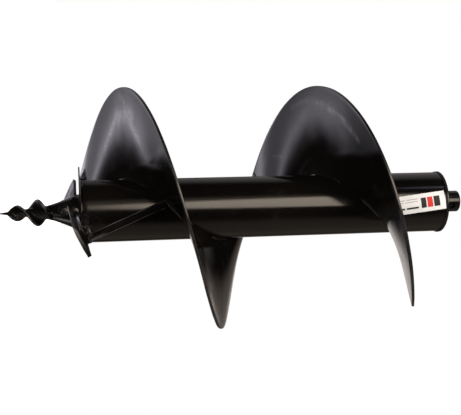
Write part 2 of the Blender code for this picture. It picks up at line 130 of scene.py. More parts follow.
PILOT_CREST_RADIUS = 0.0217
PILOT_CREST_SLOPE = 0.276
PILOT_FADE_IN = 0.0085
PILOT_FADE_OUT = 0.0845
HUB_BOLT_ACROSS = 0.013
HUB_BOLT_HEAD = 0.0053
NUT_ACROSS = 0.016
NUT_HEIGHT = 0.0070
WASHER_THICKNESS = 0.0020

CAMERA_LENS = 72.629
CAMERA_PLACE = (0.031694, -1.529293, -0.653028)
CAMERA_AHEAD = (-0.020244, 0.986221, 0.164189)
CAMERA_ABOVE = (-0.999292, -0.025167, 0.027964)

# Brightness of the studio panel, by distance up its rise and along its span.
PANEL_RISE = [
    (-0.50, 0.03), (-0.30, 0.07), (-0.12, 0.18), (0.02, 0.55), (0.13, 1.25),
    (0.24, 1.68), (0.35, 1.02), (0.47, 0.56), (0.60, 0.40), (0.85, 0.32),
    (0.98, 0.42), (1.12, 1.30), (1.22, 1.00), (1.34, 0.30), (1.60, 0.20),
]
PANEL_SPAN = [(-1.30, 0.5), (-0.10, 0.90), (0.36, 1.0), (0.52, 0.62), (0.72, 0.26), (1.30, 0.10)]

# Marks on the flight: start and end as radius and angle along the screw, width and strength.
SMEARS = [
    ((0.115, 155.0), (0.156, 178.0), 0.016, 1.5),
    ((0.153, 177.0), (0.157, 197.0), 0.022, 2.4),
    ((0.150, 192.0), (0.120, 215.0), 0.016, 1.4),
    ((0.150, 664.0), (0.190, 686.0), 0.016, 1.0),
    ((0.186, 182.0), (0.162, 196.0), 0.012, 0.6),
    ((0.125, 205.0), (0.110, 222.0), 0.016, 0.4),
    ((0.182, 520.0), (0.160, 590.0), 0.006, 0.5),
    ((0.172, 545.0), (0.156, 588.0), 0.006, 0.8),
    ((0.135, 490.0), (0.110, 500.0), 0.006, 0.3),
    ((0.180, 300.0), (0.150, 330.0), 0.010, 0.5),
    ((0.175, 400.0), (0.140, 430.0), 0.012, 0.5),
]

# -------- mesh helpers

def height(station):
    return station - LENGTH


def around(radius, angle, z):
    return Vector((radius * cos(radians(angle)), radius * sin(radians(angle)), z))


def wobble(point, scale, seed=0.0):
    """Smooth noise between about -1 and 1 at a point."""
    return noise.noise(Vector(point) * scale + Vector((seed, 1.7 * seed, 0.3 * seed)))


def loft(rings, closed_ends=True, closed_loop=False):
    shape = bmesh.new()
    rows = [[shape.verts.new(point) for point in ring] for ring in rings]
    pairs = list(zip(rows, rows[1:]))
    if closed_loop:
        pairs.append((rows[-1], rows[0]))
    for low, high in pairs:
        for index in range(len(low)):
            after = (index + 1) % len(low)
            shape.faces.new((low[index], low[after], high[after], high[index]))
    if closed_ends and not closed_loop:
        shape.faces.new(rows[0])
        shape.faces.new(rows[-1])
    return shape


def turn(profile, segments, hollow=False):
    rings = []
    for radius, z in profile:
        rings.append([around(radius, 360.0 * index / segments, z) for index in range(segments)])
    return loft(rings, closed_ends=not hollow, closed_loop=hollow)


def prism(outline, start, end, steps=1):
    """Extrude a (y, z) outline along X."""
    rings = []
    for step in range(steps + 1):
        x = start + (end - start) * step / steps
        rings.append([Vector((x, y, z)) for y, z in outline])
    return loft(rings)


def rounded(corner_radius, centre_r, centre_z, start, end, steps=5):
    """Profile points of a quarter round, angles in degrees in the (radius, z) plane."""
    points = []
    for step in range(steps + 1):
        angle = radians(start + (end - start) * step / steps)
        points.append((centre_r + corner_radius * cos(angle), centre_z + corner_radius * sin(angle)))
    return points


def aim(origin, direction):
    turned = Vector((0.0, 0.0, 1.0)).rotation_difference(Vector(direction).normalized())
    return Matrix.Translation(origin) @ turned.to_matrix().to_4x4()


def level_place(station, angle):
    """Frame at a station's height, with X along the radius at an angle."""
    return Matrix.Translation((0.0, 0.0, height(station))) @ Matrix.Rotation(radians(angle), 4, "Z")


def rectangle(left, low, right, high):
    return [(left, low), (right, low), (right, high), (left, high)]


def as_object(name, shape, place=None):
    bmesh.ops.recalc_face_normals(shape, faces=shape.faces)
    mesh = bpy.data.meshes.new(name)
    shape.to_mesh(mesh)
    shape.free()
    if place is not None:
        mesh.transform(place)
    item = bpy.data.objects.new(name, mesh)
    bpy.context.scene.collection.objects.link(item)
    return item


def settle(item):
    """Replace an object's mesh with the result of its modifiers."""
    bpy.context.view_layer.update()
    graph = bpy.context.evaluated_depsgraph_get()
    made = bpy.data.meshes.new_from_object(item.evaluated_get(graph))
    item.modifiers.clear()
    item.data = made


def combine(item, tools):
    """Cut closed shapes out of an object, then delete them."""
    for tool in tools:
        boolean = item.modifiers.new("boolean", "BOOLEAN")
        boolean.operation = "DIFFERENCE"
        boolean.solver = "EXACT"
        boolean.object = tool
    settle(item)
    for tool in tools:
        bpy.data.objects.remove(tool)


def finish_piece(item, material, slot, nodes=(), sharp=32.0, bevel=0.0, segments=2):
    """Round the edges, shade smooth, give the material and hand the piece to the frame."""
    if bevel > 0.0:
        rounding = item.modifiers.new("bevel", "BEVEL")
        rounding.width = bevel
        rounding.segments = segments
        rounding.limit_method = "ANGLE"
        rounding.angle_limit = radians(sharp)
        rounding.use_clamp_overlap = True
        settle(item)
    item.data.shade_smooth()
    item.data.set_sharp_from_angle(angle=radians(sharp + 8.0))
    item.data.materials.clear()
    item.data.materials.append(material)
    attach(item, "root")
    if nodes:
        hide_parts(*nodes)
    return item


def set_attribute(item, name, function):
    """Store a number per vertex, made from the vertex's place."""
    layer = item.data.attributes.new(name, "FLOAT", "POINT")
    for vertex, value in zip(item.data.vertices, layer.data):
        value.value = function(vertex.co)


# -------- material helpers

class Graph:
    """Small wrapper that builds a node material."""

    def __init__(self, name):
        self.material = bpy.data.materials.new(name)
        self.material.use_nodes = True
        self.tree = self.material.node_tree
        self.shader = self.tree.nodes["Principled BSDF"]
        self.coordinates = self.tree.nodes.new("ShaderNodeTexCoord").outputs["Object"]

    def add(self, kind, settings=(), inputs=()):
        made = self.tree.nodes.new(kind)
        for key, value in dict(settings).items():
            setattr(made, key, value)
        for key, value in dict(inputs).items():
            self.feed(made.inputs[key], value)
        return made

    def feed(self, socket, value):
        if isinstance(value, bpy.types.NodeSocket):
            self.tree.links.new(value, socket)
        else:
            socket.default_value = value

    def stretch(self, scale, turned=(0.0, 0.0, 0.0)):
        rotation = tuple(radians(angle) for angle in turned)
        inputs = {"Vector": self.coordinates, "Scale": scale, "Rotation": rotation}
        return self.add("ShaderNodeMapping", inputs=inputs).outputs[0]

    def noise(self, scale, detail=3.0, roughness=0.5, vector=None, distortion=0.0):
        inputs = {"Vector": vector or self.coordinates, "Scale": scale, "Detail": detail}
        inputs.update({"Roughness": roughness, "Distortion": distortion})
        return self.add("ShaderNodeTexNoise", inputs=inputs).outputs[0]

    def ramp(self, value, low, high, low_out=0.0, high_out=1.0):
        """Smooth step of a number from low..high to low_out..high_out."""
        settings = {"interpolation_type": "SMOOTHSTEP"}
        inputs = {"Value": value, "From Min": low, "From Max": high, "To Min": low_out, "To Max": high_out}
        return self.add("ShaderNodeMapRange", settings, inputs).outputs[0]

    def math(self, operation, first, second=0.5):
        made = self.add("ShaderNodeMath", {"operation": operation})
        self.feed(made.inputs[0], first)
        self.feed(made.inputs[1], second)
        return made.outputs[0]

    def mix(self, factor, first, second):
        made = self.add("ShaderNodeMix", {"data_type": "RGBA"})
        self.feed(made.inputs["Factor"], factor)
        for socket, value in ((made.inputs[6], first), (made.inputs[7], second)):
            self.feed(socket, value if isinstance(value, bpy.types.NodeSocket) else (*value, 1.0))
        return made.outputs[2]

    def attribute(self, name):
        return self.add("ShaderNodeAttribute", {"attribute_name": name}).outputs["Fac"]

    def bump(self, value, distance, strength=1.0, after=None):
        inputs = {"Height": value, "Distance": distance, "Strength": strength}
        if after is not None:
            inputs["Normal"] = after
        return self.add("ShaderNodeBump", inputs=inputs).outputs[0]

    def give(self, **values):
        for key, value in values.items():
            socket = self.shader.inputs[key.replace("_", " ")]
            self.feed(socket, (*value, 1.0) if isinstance(value, tuple) else value)


def make_paint(name, base, warm, scuff, rough_low, rough_high, peel=0.00004, scratch_share=0.25):
    """Semi-gloss paint over steel: uneven gloss, orange peel, scuffs, hairline scratches, and worn edges,
    which on the brace's corners are a painted highlight.
    """
    graph = Graph(name)
    broad = graph.noise(7.0, 4.0, 0.55)
    cloud = graph.noise(26.0, 5.0, 0.6)
    grain = graph.noise(420.0, 2.0, 0.5)
    speck = graph.noise(900.0, 1.0, 0.5)
    first_lines = graph.noise(5.0, 4.0, 0.7, graph.stretch((3.0, 150.0, 9.0), (12.0, 31.0, 24.0)))
    second_lines = graph.noise(5.0, 4.0, 0.7, graph.stretch((170.0, 6.0, 8.0), (-20.0, 14.0, 40.0)))
    smears = graph.noise(9.0, 4.0, 0.6, graph.stretch((1.0, 2.5, 9.0), (0.0, 25.0, 0.0)))
    lines = graph.math("MAXIMUM", graph.ramp(first_lines, 0.66, 0.74), graph.ramp(second_lines, 0.67, 0.75))
    patch = graph.ramp(broad, 0.52, 0.72)
    scratches = graph.math("MULTIPLY", lines, graph.math("MULTIPLY", patch, scratch_share))
    dust = graph.math("MULTIPLY", graph.ramp(cloud, 0.56, 0.80), 0.10)
    # Edge mask from the wear attribute: real worn edges, and on the brace's corners a painted highlight.
    wear_and_highlight = graph.math("MULTIPLY", graph.attribute("wear_and_highlight"), graph.ramp(cloud, 0.38, 0.62, 0.35, 1.0))
    colour = graph.mix(broad, base, warm)
    colour = graph.mix(graph.math("MAXIMUM", dust, scratches), colour, scuff)
    smear = graph.math("MULTIPLY", graph.attribute("smear"), graph.ramp(smears, 0.42, 0.62, 0.35, 1.0))
    colour = graph.mix(smear, colour, (0.26, 0.25, 0.28))
    # Light edge colour: worn paint, and on the brace's corners a painted highlight.
    colour = graph.mix(wear_and_highlight, colour, (0.16, 0.15, 0.14))
    rough = graph.ramp(cloud, 0.30, 0.75, rough_low, rough_high)
    rough = graph.math("ADD", rough, graph.math("MULTIPLY", smear, 0.12))
    rough = graph.math("ADD", rough, graph.math("MULTIPLY", scratches, 0.35))
    rough = graph.math("ADD", rough, graph.math("MULTIPLY", wear_and_highlight, 0.10))
    normal = graph.bump(grain, peel)
    normal = graph.bump(speck, peel * 0.35, 1.0, normal)
    normal = graph.bump(lines, -0.00003, 0.6, normal)
    graph.give(Base_Color=colour, Roughness=rough, Normal=normal)
    graph.shader.inputs["IOR"].default_value = 1.52
    return graph.material


def make_forging():
    """Paint over a rough forging: pitted, duller than the rolled steel."""
    graph = Graph("painted_forging")
    broad = graph.noise(30.0, 5.0, 0.6)
    pits = graph.noise(160.0, 5.0, 0.65)
    wear_and_highlight = graph.math("MULTIPLY", graph.attribute("wear_and_highlight"), graph.ramp(pits, 0.40, 0.62))
    colour = graph.mix(broad, (0.0010, 0.0009, 0.0008), (0.0030, 0.0026, 0.0022))
    colour = graph.mix(wear_and_highlight, colour, (0.20, 0.19, 0.18))
    rough = graph.ramp(pits, 0.25, 0.75, 0.13, 0.30)
    normal = graph.bump(pits, 0.0006)
    normal = graph.bump(graph.noise(600.0, 2.0), 0.00008, 1.0, normal)
    graph.give(Base_Color=colour, Roughness=rough, Normal=normal)
    return graph.material


def make_zinc():
    """Zinc plating under a patchy coat of the bit's black paint."""
    graph = Graph("zinc_steel")
    cloud = graph.noise(150.0, 5.0, 0.6)
    fine = graph.noise(900.0, 3.0, 0.6)
    bare = graph.ramp(cloud, 0.60, 0.72)
    colour = graph.mix(bare, (0.005, 0.0045, 0.0045), (0.20, 0.19, 0.175))
    rough = graph.ramp(fine, 0.3, 0.7, 0.18, 0.32)
    metal = graph.ramp(cloud, 0.62, 0.70)
    graph.give(Base_Color=colour, Roughness=rough, Metallic=metal, Normal=graph.bump(fine, 0.00003))
    return graph.material


def make_film(name, colour, rough=0.38):
    """Printed vinyl film, a little uneven."""
    graph = Graph(name)
    cloud = graph.noise(60.0, 4.0, 0.6)
    fine = graph.noise(700.0, 3.0, 0.6)
    dark = tuple(0.86 * value for value in colour)
    tone = graph.mix(graph.ramp(cloud, 0.45, 0.80), colour, dark)
    gloss = graph.ramp(fine, 0.3, 0.7, rough - 0.06, rough + 0.06)
    graph.give(Base_Color=tone, Roughness=gloss, Normal=graph.bump(cloud, 0.00012))
    graph.shader.inputs["Specular IOR Level"].default_value = 0.15
    return graph.material


MATERIALS = {
    "paint": make_paint("black_paint", (0.0022, 0.0019, 0.0018), (0.0046, 0.0038, 0.0032),
                        (0.070, 0.066, 0.068), 0.11, 0.18),
    "tube": make_paint("black_paint_tube", (0.0020, 0.0017, 0.0016), (0.0044, 0.0036, 0.0030),
                       (0.045, 0.041, 0.038), 0.11, 0.17, 0.00003, 0.12),
    "weld": make_paint("painted_weld", (0.003, 0.0026, 0.0024), (0.006, 0.005, 0.0045),
                       (0.060, 0.056, 0.053), 0.24, 0.40, 0.00012, 0.0),
    "knife": make_paint("painted_knife_steel", (0.002, 0.0018, 0.0017), (0.004, 0.0036, 0.003),
                        (0.040, 0.037, 0.035), 0.24, 0.38, 0.00006, 0.5),
    "forging": make_forging(),
    "zinc": make_zinc(),
    "label": make_film("label_film", (0.70, 0.69, 0.67)),
    "ink_dark": make_film("label_ink_dark", (0.018, 0.017, 0.017)),
    "ink_red": make_film("label_ink_red", (0.56, 0.030, 0.024)),
    "ink_grey": make_film("label_ink_grey", (0.30, 0.29, 0.28)),
}

# Material and material slot of the kinds of piece that repeat.
PAINT = (MATERIALS["paint"], "black_paint")
WELD = (MATERIALS["weld"], "black_paint")
ZINC = (MATERIALS["zinc"], "zinc_steel")


# -------- tube, caps and drive socket

def build_tube():
    inner = TUBE_RADIUS - TUBE_WALL
    low, high = height(TUBE_FOOT), height(TUBE_HEAD)
    edge = 0.0006
    profile = rounded(edge, TUBE_RADIUS - edge, low + edge, -90.0, 0.0)
    steps = 90
    for step in range(1, steps):
        profile.append((TUBE_RADIUS, low + edge + (high - low - 2.0 * edge) * step / steps))
    profile += rounded(edge, TUBE_RADIUS - edge, high - edge, 0.0, 90.0)
    profile += [(inner + edge, high), (inner, high - edge), (inner, low + edge), (inner + edge, low)]
    tube = as_object("tube_skin", turn(profile, 200, hollow=True))
    finish_piece(tube, MATERIALS["tube"], "black_paint", ["core_tube"])


def build_caps():
    plug = TUBE_RADIUS - TUBE_WALL - GAP
    recess = HUB_RADIUS + GAP
    edge = 0.0008
    foot = height(BOTTOM_CAP_FOOT)
    shoulder = foot + BOTTOM_CAP_FLANGE
    profile = [(recess, height(HUB_TOP) + GAP), (recess, foot)]
    profile += rounded(edge, TUBE_RADIUS - edge, foot + edge, -90.0, 0.0)
    profile += rounded(edge, TUBE_RADIUS - edge, shoulder - edge, 0.0, 90.0)
    profile += [(plug, shoulder), (plug, height(BOTTOM_CAP_TOP))]
    bottom = as_object("bottom_cap_disc", turn(profile, 160))
    finish_piece(bottom, *PAINT, ["bottom_cap"])
    low = height(TUBE_HEAD) + GAP
    high = low + TOP_CAP_THICKNESS
    inner = SOCKET_RADIUS + GAP
    edge = 0.0010
    profile = [(inner, low), *rounded(edge, TOP_CAP_RADIUS - edge, low + edge, -90.0, 0.0)]
    profile += [*rounded(edge, TOP_CAP_RADIUS - edge, high - edge, 0.0, 90.0), (inner, high)]
    top = as_object("top_cap_disc", turn(profile, 160, hollow=True))
    finish_piece(top, *PAINT, ["top_cap"])


def build_socket():
    edge = SOCKET_EDGE
    mouth = 0.0009
    profile = [(SOCKET_RADIUS, -SOCKET_LENGTH), (SOCKET_RADIUS, -0.030)]
    profile += rounded(edge, SOCKET_RADIUS - edge, -edge, 0.0, 90.0, 7)
    profile += [(SOCKET_BORE_RADIUS + mouth, 0.0), (SOCKET_BORE_RADIUS, -mouth)]
    profile += [(SOCKET_BORE_RADIUS, -SOCKET_BORE_DEPTH)]
    socket = as_object("drive_socket_body", turn(profile, 96))
    span = 2.0 * SOCKET_RADIUS
    hole = turn([(PIN_HOLE_RADIUS, -span), (PIN_HOLE_RADIUS, span)], 48)
    place = aim((0.0, 0.0, -PIN_HOLE_DEPTH), around(1.0, PIN_HOLE_ANGLE, 0.0))
    combine(socket, [as_object("pin_hole_tool", hole, place)])
    finish_piece(socket, *PAINT, ["drive_socket"], 30.0, 0.0005, 2)


# -------- flight

def flight_height(angle):
    return height(FLIGHT_START) + FLIGHT_PITCH * (angle - FLIGHT_START_ANGLE) / 360.0


def flight_loop(angle, columns=22):
    """Radial cross-section of the flight at one angle, with a softened outer edge."""
    half = FLIGHT_HEIGHT / 2.0
    soft = 0.0009
    z = flight_height(angle)
    last = FLIGHT_RADIUS - soft
    radii = [FLIGHT_ROOT_RADIUS + (last - FLIGHT_ROOT_RADIUS) * step / columns for step in range(columns + 1)]
    edge = rounded(soft, last, half - soft, 90.0, 0.0, 3)[1:]
    edge += rounded(soft, last, soft - half, 0.0, -90.0, 3)[:-1]
    section = [(radius, half) for radius in radii] + edge + [(radius, -half) for radius in reversed(radii)]
    points = []
    for radius, lift in section:
        share = (radius - FLIGHT_ROOT_RADIUS) / (FLIGHT_RADIUS - FLIGHT_ROOT_RADIUS)
        flat = around(radius, angle, 0.7 * z)
        ripple = 0.00055 * share * wobble(flat, 9.0, 3.0) + 0.00018 * wobble(flat, 34.0, 8.0)
        reach = radius - 0.0005 * share * max(0.0, wobble(around(1.0, angle, z), 5.0, 5.0))
        points.append(around(reach, angle, z + lift + ripple))
    return points


def flight_wear(point):
    """Slight wear along the outer edge, gone within two millimetres of it."""
    reach = Vector((point.x, point.y)).length
    return 0.08 * max(0.0, min(1.0, (reach - (FLIGHT_RADIUS - 0.0020)) / 0.0018))


def smear_at(point):
    """Wiped and scraped marks left by handling, near lines drawn over the flight."""
    angle = FLIGHT_START_ANGLE + 360.0 * (point.z - height(FLIGHT_START)) / FLIGHT_PITCH
    reach = Vector((point.x, point.y)).length
    total = 0.0
    for first, last, width, strength in SMEARS:
        start = Vector((first[0], radians(first[1]) * 0.16))
        along = Vector((last[0], radians(last[1]) * 0.16)) - start
        here = Vector((reach, radians(angle) * 0.16)) - start
        share = max(0.0, min(1.0, here.dot(along) / along.length_squared))
        away = (here - share * along).length
        total = max(total, strength * max(0.0, 1.0 - away / width) ** 2)
    return total


def build_flight():
    seam = FLIGHT_START_ANGLE + SECTION_SWEEP
    end = FLIGHT_START_ANGLE + FLIGHT_SWEEP
    spans = {"lower": (FLIGHT_START_ANGLE, seam - 0.1), "upper": (seam + 0.1, end)}
    for name, (start, stop) in spans.items():
        steps = round((stop - start) / 1.5)
        rings = [flight_loop(start + (stop - start) * step / steps) for step in range(steps + 1)]
        skin = as_object(f"flight_{name}_skin", loft(rings))
        set_attribute(skin, "wear_and_highlight", flight_wear)
        set_attribute(skin, "smear", smear_at)
        finish_piece(skin, *PAINT, [f"flight_{name}_section"], 50.0)


# -------- welds

def weld_bead(name, path, radius, seed, pitch=0.0032, flatten=1.0):
    """Rippled bead along a path: a closed round bar of changing thickness, half sunk in the joint."""
    segments = 8
    rings = []
    travelled = 0.0
    count = len(path)
    for index, point in enumerate(path):
        before = path[max(0, index - 1)]
        after = path[min(count - 1, index + 1)]
        along = (after - before).normalized()
        travelled += (point - before).length
        side = along.orthogonal().normalized() if not rings else (side - along * side.dot(along)).normalized()
        other = along.cross(side)
        share = min(index, count - 1 - index) / 4.0
        taper = min(1.0, 0.35 + 0.65 * min(1.0, share))
        ripple = 1.0 + 0.13 * sin(2.0 * pi * travelled / pitch) + 0.22 * wobble(point, 120.0, seed)
        size = radius * taper * ripple
        drift = 0.18 * radius * wobble(point, 60.0, seed + 4.0)
        ring = []
        for step in range(segments):
            angle = 2.0 * pi * step / segments
            ring.append(point + (size * cos(angle) + drift) * side + size * flatten * sin(angle) * other)
        rings.append(ring)
    bead = as_object(name, loft(rings))
    return finish_piece(bead, *WELD, (), 80.0)


def arc_path(radius, z, start, end, step=1.2):
    count = max(4, round(abs(end - start) / step))
    return [around(radius, start + (end - start) * index / count, z) for index in range(count + 1)]


def line_path(first, last, step=0.0012):
    count = max(4, round((last - first).length / step))
    return [first.lerp(last, index / count) for index in range(count + 1)]


def build_welds():
    end = FLIGHT_START_ANGLE + FLIGHT_SWEEP
    half = FLIGHT_HEIGHT / 2.0
    for face, lift in (("under", -half), ("upper", half)):
        stitch, pause = (42.0, 30.0) if face == "under" else (34.0, 38.0)
        start = FLIGHT_START_ANGLE + (4.0 if face == "under" else 14.0)
        index = 0
        while start < end - 8.0:
            stop = min(start + stitch, end - 1.0)
            path = []
            angle = start
            while angle <= stop:
                path.append(around(TUBE_RADIUS + 0.0009, angle, flight_height(angle) + 1.25 * lift))
                angle += 1.2
            weld_bead(f"flight_weld_{face}_{index}", path, 0.0021, 3.0 + index)
            start = stop + pause
            index += 1
    seam = FLIGHT_START_ANGLE + SECTION_SWEEP
    z = flight_height(seam)
    for face, lift in (("under", -half), ("upper", half)):
        inner = around(TUBE_RADIUS + 0.004, seam, z + lift)
        path = line_path(inner, around(FLIGHT_RADIUS - 0.002, seam, z + lift))
        weld_bead(f"flight_seam_weld_{face}", path, 0.0022, 21.0 + lift, flatten=0.45)
    cap_path = arc_path(TUBE_RADIUS + 0.0002, height(TUBE_HEAD) + 0.0001, 186.0, 540.0)
    weld_bead("top_cap_weld", cap_path, 0.0014, 31.0)
    hub_path = arc_path(HUB_RADIUS + 0.0010, height(BOTTOM_CAP_FOOT) - 0.0002, 5.0, 362.0, 2.0)
    weld_bead("hub_weld", hub_path, 0.0030, 37.0)


def build_socket_fillet():
    """Cone of weld metal between the drive socket and the top cap."""
    low = height(TUBE_HEAD) + TOP_CAP_THICKNESS
    rings = []
    section = ((-0.0006, -0.0006), (0.0072, -0.0006), (0.0066, 0.0010), (0.0042, 0.0030), (0.0018, 0.0058),
               (-0.0006, 0.0070))
    profile = [(SOCKET_RADIUS + out, rise) for out, rise in section]
    segments = 150
    for index in range(segments):
        angle = 360.0 * index / segments
        ripple = 1.0 + 0.05 * sin(radians(angle) * 34.0) + 0.10 * wobble(around(1.0, angle, 0.0), 3.0, 9.0)
        ring = []
        for radius, rise in profile:
            spread = SOCKET_RADIUS + (radius - SOCKET_RADIUS) * (ripple if radius > SOCKET_RADIUS else 1.0)
            ring.append(around(spread, angle, low + rise * (ripple if rise > 0.0 else 1.0)))
        rings.append(ring)
    fillet = as_object("socket_weld", loft(rings, closed_loop=True))
    finish_piece(fillet, *WELD, (), 60.0)


def build_spatter():
    """Small beads of weld spatter that stuck to the tube near its joints."""
    random = Random(11)
    shape = bmesh.new()
    spots = []
    for _ in range(26):
        angle = random.uniform(FLIGHT_START_ANGLE, FLIGHT_START_ANGLE + FLIGHT_SWEEP)
        lift = random.choice((-1.0, 1.0)) * random.uniform(0.006, 0.020)
        spots.append((angle, flight_height(angle) + lift, random.uniform(0.0004, 0.0009)))
    for _ in range(16):
        angle = BRACE_HEAD["angle"] + random.uniform(-26.0, 20.0)
        z = height(BRACE_HEAD["station"]) + random.uniform(-0.022, 0.016)
        spots.append((angle, z, random.uniform(0.0004, 0.0011)))
    for _ in range(12):
        spots.append((random.uniform(200.0, 340.0), height(TUBE_FOOT) + random.uniform(0.004, 0.030),
                      random.uniform(0.0004, 0.0009)))
    for angle, z, size in spots:
        if not height(TUBE_FOOT) + 0.002 < z < height(TUBE_HEAD) - 0.002:
            continue
        place = Matrix.Translation(around(TUBE_RADIUS + 0.2 * size, angle, z))
        bmesh.ops.create_icosphere(shape, subdivisions=2, radius=size, matrix=place)
    spatter = as_object("weld_spatter", shape)
    finish_piece(spatter, *WELD, (), 80.0)


# -------- pilot screw and hub

def taper_radius(station):
    rise = max(0.0, (station - PILOT_NECK) / (HUB_CONE_TOP - PILOT_NECK))
    return PILOT_NECK_RADIUS + (HUB_RADIUS - PILOT_NECK_RADIUS) * min(1.0, rise) ** 1.3


def pilot_core_radius(station):
    spike = PILOT_SPIKE_RADIUS
    if station < PILOT_SPIKE_LENGTH:
        return PILOT_POINT_RADIUS + (spike - PILOT_POINT_RADIUS) * station / PILOT_SPIKE_LENGTH
    if station < PILOT_NECK:
        rise = station - PILOT_SPIKE_LENGTH
        return spike + (PILOT_NECK_RADIUS - spike) * rise / (PILOT_NECK - PILOT_SPIKE_LENGTH)
    return taper_radius(station)


def pilot_share(station, angle):
    """How far a point is up the side of the twin thread, from 0 on the core to 1 on the crest."""
    offset = (station - PILOT_CREST) - PILOT_HALF_TURN * angle / 180.0
    offset -= PILOT_HALF_TURN * round(offset / PILOT_HALF_TURN)
    share = max(0.0, 1.0 - abs(offset) / PILOT_THREAD_HALF_WIDTH)
    fade_in = min(1.0, max(0.0, (station - PILOT_FADE_IN) / 0.008))
    fade_out = min(1.0, max(0.0, (PILOT_FADE_OUT - station) / 0.012))
    return share * share * (3.0 - 2.0 * share) * fade_in * fade_out


def pilot_radius(station, angle):
    core = pilot_core_radius(station)
    crest = PILOT_CREST_RADIUS + PILOT_CREST_SLOPE * (station - PILOT_CREST)
    return core + max(0.0, crest - core) * pilot_share(station, angle)


def crest_wear(point):
    """Paint rubbed off the crest of the pilot's thread."""
    bearing = -degrees(Vector((1.0, 0.0)).angle_signed(Vector((point.x, point.y)), 0.0))
    return max(0.0, pilot_share(point.z + LENGTH, bearing) - 0.75) * 2.2


def build_pilot():
    segments, steps = 96, 190
    rings = []
    for step in range(steps + 1):
        station = PILOT_SHOULDER * step / steps
        ring = []
        for index in range(segments):
            angle = 360.0 * index / segments
            radius = pilot_radius(station, angle)
            spot = around(radius, angle, height(station))
            radius += 0.00035 * wobble(spot, 130.0, 2.0) * min(1.0, station / 0.02)
            ring.append(around(radius, angle, height(station)))
        rings.append(ring)
    screw = as_object("pilot_screw_forging", loft(rings))
    set_attribute(screw, "wear_and_highlight", crest_wear)
    finish_piece(screw, MATERIALS["forging"], "forging", ["pilot_screw"], 75.0)


def hub_bolt_place(station):
    return aim((0.0, 0.0, height(station)), around(1.0, HUB_BOLT_ANGLE, 0.0))


def hex_head(across, low, high):
    """Hexagonal head with its outer corners chamfered by a cone, along +Z."""
    segments = 48
    half = across / 2.0
    corner = half / cos(pi / 6.0)
    drop = 0.55 * (corner - half)
    rings = []
    outline = []
    for index in range(segments):
        angle = 360.0 * index / segments
        off_flat = (angle + 30.0) % 60.0 - 30.0
        outline.append((half / cos(radians(off_flat)), angle))
    levels = ((low, half * 1.02), (low + drop * 0.6, corner), (high - drop, corner),
              (high - 0.0001, half * 0.98), (high, half * 0.93))
    for z, limit in levels:
        ring = []
        for radius, angle in outline:
            ring.append(around(min(radius, limit), angle, z))
        rings.append(ring)
    return rings


def build_hub():
    foot = PILOT_SHOULDER + 0.0001
    profile = [(PILOT_SHANK_RADIUS, height(foot))]
    steps = 24
    for step in range(steps + 1):
        station = foot + (HUB_CONE_TOP - foot) * step / steps
        profile.append((taper_radius(station), height(station)))
    profile.append((HUB_RADIUS, height(HUB_TOP)))
    hub = as_object("pilot_socket_cone", turn(profile, 120))
    half = HUB_FLAT_HALF_WIDTH
    tools = []
    for name, (station, flat) in HUB_BOLTS.items():
        place = level_place(station, HUB_BOLT_ANGLE)
        outline = rectangle(-half, -half, half, half)
        tools.append(as_object("flat_tool_" + name, prism(outline, flat, 2.0 * HUB_RADIUS), place))
    combine(hub, tools)
    finish_piece(hub, *PAINT, ["pilot_socket"], 25.0, 0.0006, 2)
    for name, (station, flat) in HUB_BOLTS.items():
        seat = flat + 0.0001
        shape = loft(hex_head(HUB_BOLT_ACROSS, seat, seat + HUB_BOLT_HEAD))
        head = as_object("pilot_bolt_head_" + name, shape, hub_bolt_place(station))
        finish_piece(head, *ZINC, ["pilot_bolt_" + name], 25.0, 0.0002, 2)


# -------- knives, seats and fasteners

def knife_place(side):
    level = level_place(side["station"], side["angle"])
    line = Matrix.Translation((0.0, side["offset"], 0.0)) @ Matrix.Rotation(radians(-side["rise"]), 4, "Y")
    return level @ line @ Matrix.Rotation(radians(KNIFE_TILT), 4, "X")


def knife_outline():
    half = KNIFE_THICKNESS / 2.0
    bend = radians(KNIFE_BEND)
    flat = KNIFE_HALF_FLAT
    shift = half * tan(bend / 2.0)
    along = Vector((cos(bend), sin(bend)))
    front = Vector((-flat, 0.0)) + KNIFE_WING * Vector((-along.x, along.y))
    rear = Vector((flat, 0.0)) + KNIFE_WING * along
    front_normal = Vector((along.y, along.x))
    rear_normal = Vector((-along.y, along.x))
    bevel = KNIFE_BEVEL * Vector((along.x, -along.y))
    return [
        tuple(front - half * front_normal),
        (-flat - shift, -half),
        (flat + shift, -half),
        tuple(rear - half * rear_normal),
        tuple(rear + half * rear_normal),
        (flat - shift, half),
        (-flat + shift, half),
        tuple(front + half * front_normal + bevel),
        tuple(front - 0.6 * half * front_normal),
    ]


def build_knives():
    half = KNIFE_THICKNESS / 2.0
    front = -KNIFE_HALF_FLAT - KNIFE_WING
    sink = [(0.0102, -2.0 * half), (0.0102, -half + 0.0006), (0.0054, -half + 0.0054), (0.0054, 2.0 * half)]
    for name, side in KNIFE_SIDES.items():
        place = knife_place(side)
        knife = as_object("knife_blade_" + name, prism(knife_outline(), KNIFE_INNER, KNIFE_OUTER), place)
        tools = []
        for reach in KNIFE_BOLT_REACHES.values():
            spot = place @ Matrix.Translation((reach, 0.0, 0.0))
            tools.append(as_object("knife_hole_tool", turn(sink, 48), spot))
        combine(knife, tools)
        finish_piece(knife, MATERIALS["knife"], "knife_steel", ["knife_" + name], 20.0, 0.0005, 2)
        cutting = place.inverted()

        def edge_wear(point):
            """Paint rubbed off along the cutting edge."""
            return max(0.0, min(1.0, (front + 0.0035 - (cutting @ point).y) / 0.003)) * 0.35

        set_attribute(knife, "wear_and_highlight", edge_wear)
        build_seat(name, place)
        build_knife_fasteners(name, place)


